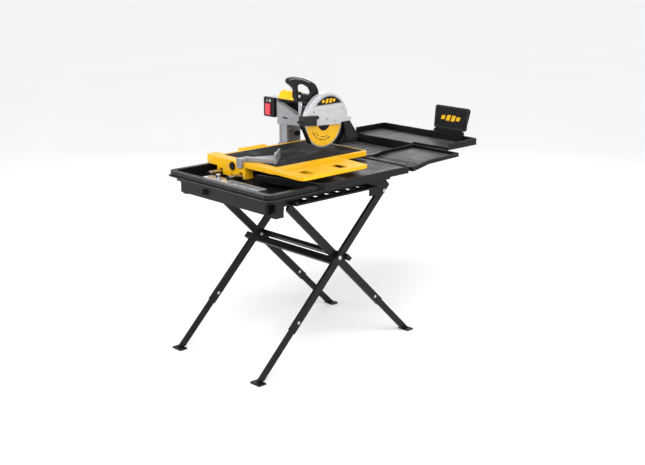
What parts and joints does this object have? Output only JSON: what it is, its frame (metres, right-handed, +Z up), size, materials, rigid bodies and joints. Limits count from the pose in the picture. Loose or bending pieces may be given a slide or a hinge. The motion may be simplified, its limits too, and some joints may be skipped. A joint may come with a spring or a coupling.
{
  "type": "wet tile saw",
  "caption": "Bridge-less wet saw for tile and stone: sliding cart on rails over a water tub, cantilevered blade head, catch trays and a folding X-stand.",
  "frame": {"origin": "on the floor, under the middle of the whole object in plan", "axes": "+X across the saw from the motor side to the tray side, +Y away from the operator along the cut, +Z up"},
  "size_m": [0.916, 1.5988, 1.332],
  "materials": {
    "black_steel": "satin powder coat, slightly worn at the edges",
    "zinc": "zinc plated",
    "steel": "ground and plated",
    "black_plastic": "moulded, fine grain",
    "grey_plastic": "moulded, fine grain",
    "tub_plastic": "moulded, fine grain",
    "blue_plastic": "moulded",
    "rubber": "matt",
    "mat_rubber": "matt, finely ribbed",
    "silver_casting": "cast and lacquered",
    "silver_paint": "satin silver lacquer",
    "red_plastic": "moulded",
    "yellow_plastic": "moulded",
    "yellow_paint": "glossy powder coat",
    "winding": "varnished copper",
    "black_oxide": "blackened steel",
    "blade_paint": "lacquered core with a bare rim"
  },
  "bodies": {
    "saw_base": {"base_frame": "black_steel", "tub": "tub_plastic", "cart_rails": "steel", "rail_crossbar": "steel", "water_pump": "blue_plastic", "column": "silver_casting", "column_base": "silver_casting", "plunge_pin": "steel", "top_hinge_bolts": "zinc"},
    "outer_legs": {"outer_leg_right": "black_steel", "outer_leg_left": "black_steel", "outer_foot_leg_right": "black_steel", "outer_foot_leg_left": "black_steel", "outer_crossbar": "black_steel", "pivot_bolts": "zinc", "outer_leg_bolts": "zinc"},
    "inner_legs": {"inner_leg_right": "black_steel", "inner_leg_left": "black_steel", "inner_foot_leg_right": "black_steel", "inner_foot_leg_left": "black_steel", "inner_crossbar": "black_steel", "inner_leg_bolts": "zinc", "leg_glides": "black_plastic"},
    "drain": {"drain_plug": "rubber"},
    "column_knob": {"plunge_lock_knob": "black_plastic"},
    "arm_body": {"arm": "silver_casting", "switch_box": "black_plastic"},
    "paddle": {"switch_paddle": "red_plastic"},
    "head": {"belt_case": "silver_casting", "motor_housing": "black_plastic", "motor_cover": "yellow_plastic", "stator": "winding", "bearings": "steel", "drive_belt": "rubber", "handle": "black_plastic", "height_rod": "steel", "blade_guard": "silver_paint", "guard_badge": "black_plastic", "guard_screws": "zinc", "nozzle_block": "grey_plastic", "front_flap": "rubber", "rear_shroud": "rubber", "rear_flap": "grey_plastic"},
    "rotor": {"armature": "winding"},
    "arbor": {"spindle": "steel", "blade": "blade_paint", "blade_flanges": "black_oxide", "arbor_nut": "black_oxide"},
    "bevel_knob": {"head_lock_knob": "black_plastic"},
    "cart": {"cart_frame": "yellow_paint", "cutting_mat": "mat_rubber"},
    "front_axle": {"front_wheels": "steel"},
    "rear_axle": {"rear_wheels": "steel"},
    "extension": {"side_extension": "yellow_paint"},
    "fence": {"miter_fence": "silver_casting"},
    "mat_knob": {"fence_knob": "black_plastic"},
    "tray_side": {"side_tray": "tub_plastic"},
    "tray_rear_right": {"rear_right_tray": "tub_plastic"},
    "tray_rear": {"rear_tray": "tub_plastic"},
    "flap": {"splash_flap": "black_plastic"}
  },
  "joints": [
    {"name": "stand_fold", "type": "hinge", "parent": "saw_base", "child": "outer_legs", "pos_m": [0.05, 0.03591, 0.79677], "axis": [1, 0, 0], "range_deg": [0, 36]},
    {"name": "stand_scissor", "type": "hinge", "parent": "outer_legs", "child": "inner_legs", "pos_m": [0.05, -0.25795, 0.508], "axis": [1, 0, 0], "range_deg": [-72, 0]},
    {"name": "drain_pull", "type": "slide", "parent": "saw_base", "child": "drain", "axis": [0, -1, 0], "range_m": [0, 0.03]},
    {"name": "plunge_lock_turn", "type": "hinge", "parent": "saw_base", "child": "column_knob", "pos_m": [-0.35, 0.11305, 0.978], "axis": [1, 0, 0], "range_deg": [0, 180]},
    {"name": "plunge", "type": "hinge", "parent": "saw_base", "child": "arm_body", "pos_m": [0.05, 0.11205, 1.112], "axis": [-1, 0, 0], "range_deg": [0, 6]},
    {"name": "switch_press", "type": "hinge", "parent": "arm_body", "child": "paddle", "pos_m": [-0.422, -0.02195, 1.14], "axis": [1, 0, 0], "range_deg": [0, 8], "stiffness_Nm_per_rad": 0.5},
    {"name": "bevel", "type": "hinge", "parent": "arm_body", "child": "head", "pos_m": [-0.058, -0.08895, 1.094], "axis": [0, 1, 0], "range_deg": [0, 45]},
    {"name": "blade_spin", "type": "hinge", "parent": "head", "child": "arbor", "pos_m": [-0.023, 0.00205, 1.089], "axis": [1, 0, 0], "continuous": true},
    {"name": "motor_spin", "type": "hinge", "parent": "head", "child": "rotor", "pos_m": [-0.2, 0.00405, 1.184], "axis": [1, 0, 0], "continuous": true},
    {"name": "bevel_lock_turn", "type": "hinge", "parent": "head", "child": "bevel_knob", "pos_m": [-0.046, -0.15195, 1.238], "axis": [1, 0, 0], "range_deg": [0, 180]},
    {"name": "cart_travel", "type": "slide", "parent": "saw_base", "child": "cart", "axis": [0, 1, 0], "range_m": [-0.07, 0.28]},
    {"name": "front_wheels_roll", "type": "hinge", "parent": "cart", "child": "front_axle", "pos_m": [-0.135, -0.41795, 0.9081], "axis": [1, 0, 0], "continuous": true},
    {"name": "rear_wheels_roll", "type": "hinge", "parent": "cart", "child": "rear_axle", "pos_m": [-0.135, -0.14795, 0.9081], "axis": [1, 0, 0], "continuous": true},
    {"name": "extension_pull", "type": "slide", "parent": "cart", "child": "extension", "axis": [1, 0, 0], "range_m": [0, 0.12]},
    {"name": "fence_slide", "type": "slide", "parent": "cart", "child": "fence", "axis": [1, 0, 0], "range_m": [0, 0.1]},
    {"name": "fence_knob_turn", "type": "hinge", "parent": "cart", "child": "mat_knob", "pos_m": [-0.118, -0.51995, 0.925], "axis": [0, 1, 0], "range_deg": [0, 180]},
    {"name": "side_tray_slide", "type": "slide", "parent": "saw_base", "child": "tray_side", "axis": [0, -1, 0], "range_m": [0, 0.1]},
    {"name": "rear_right_tray_pull", "type": "slide", "parent": "saw_base", "child": "tray_rear_right", "axis": [1, 0, 0], "range_m": [0, 0.12]},
    {"name": "rear_tray_pull", "type": "slide", "parent": "saw_base", "child": "tray_rear", "axis": [0, 1, 0], "range_m": [0, 0.12]},
    {"name": "flap_fold", "type": "hinge", "parent": "tray_rear", "child": "flap", "pos_m": [0.16, 0.77705, 0.972], "axis": [1, 0, 0], "range_deg": [0, 80]}
  ],
  "couplings": [
    {"joint": "stand_scissor", "follows": "stand_fold", "ratio": -2},
    {"joint": "motor_spin", "follows": "blade_spin", "ratio": 1.3889},
    {"joint": "front_wheels_roll", "follows": "cart_travel", "rad_per_m": -83.333},
    {"joint": "rear_wheels_roll", "follows": "cart_travel", "rad_per_m": -83.333}
  ]
}
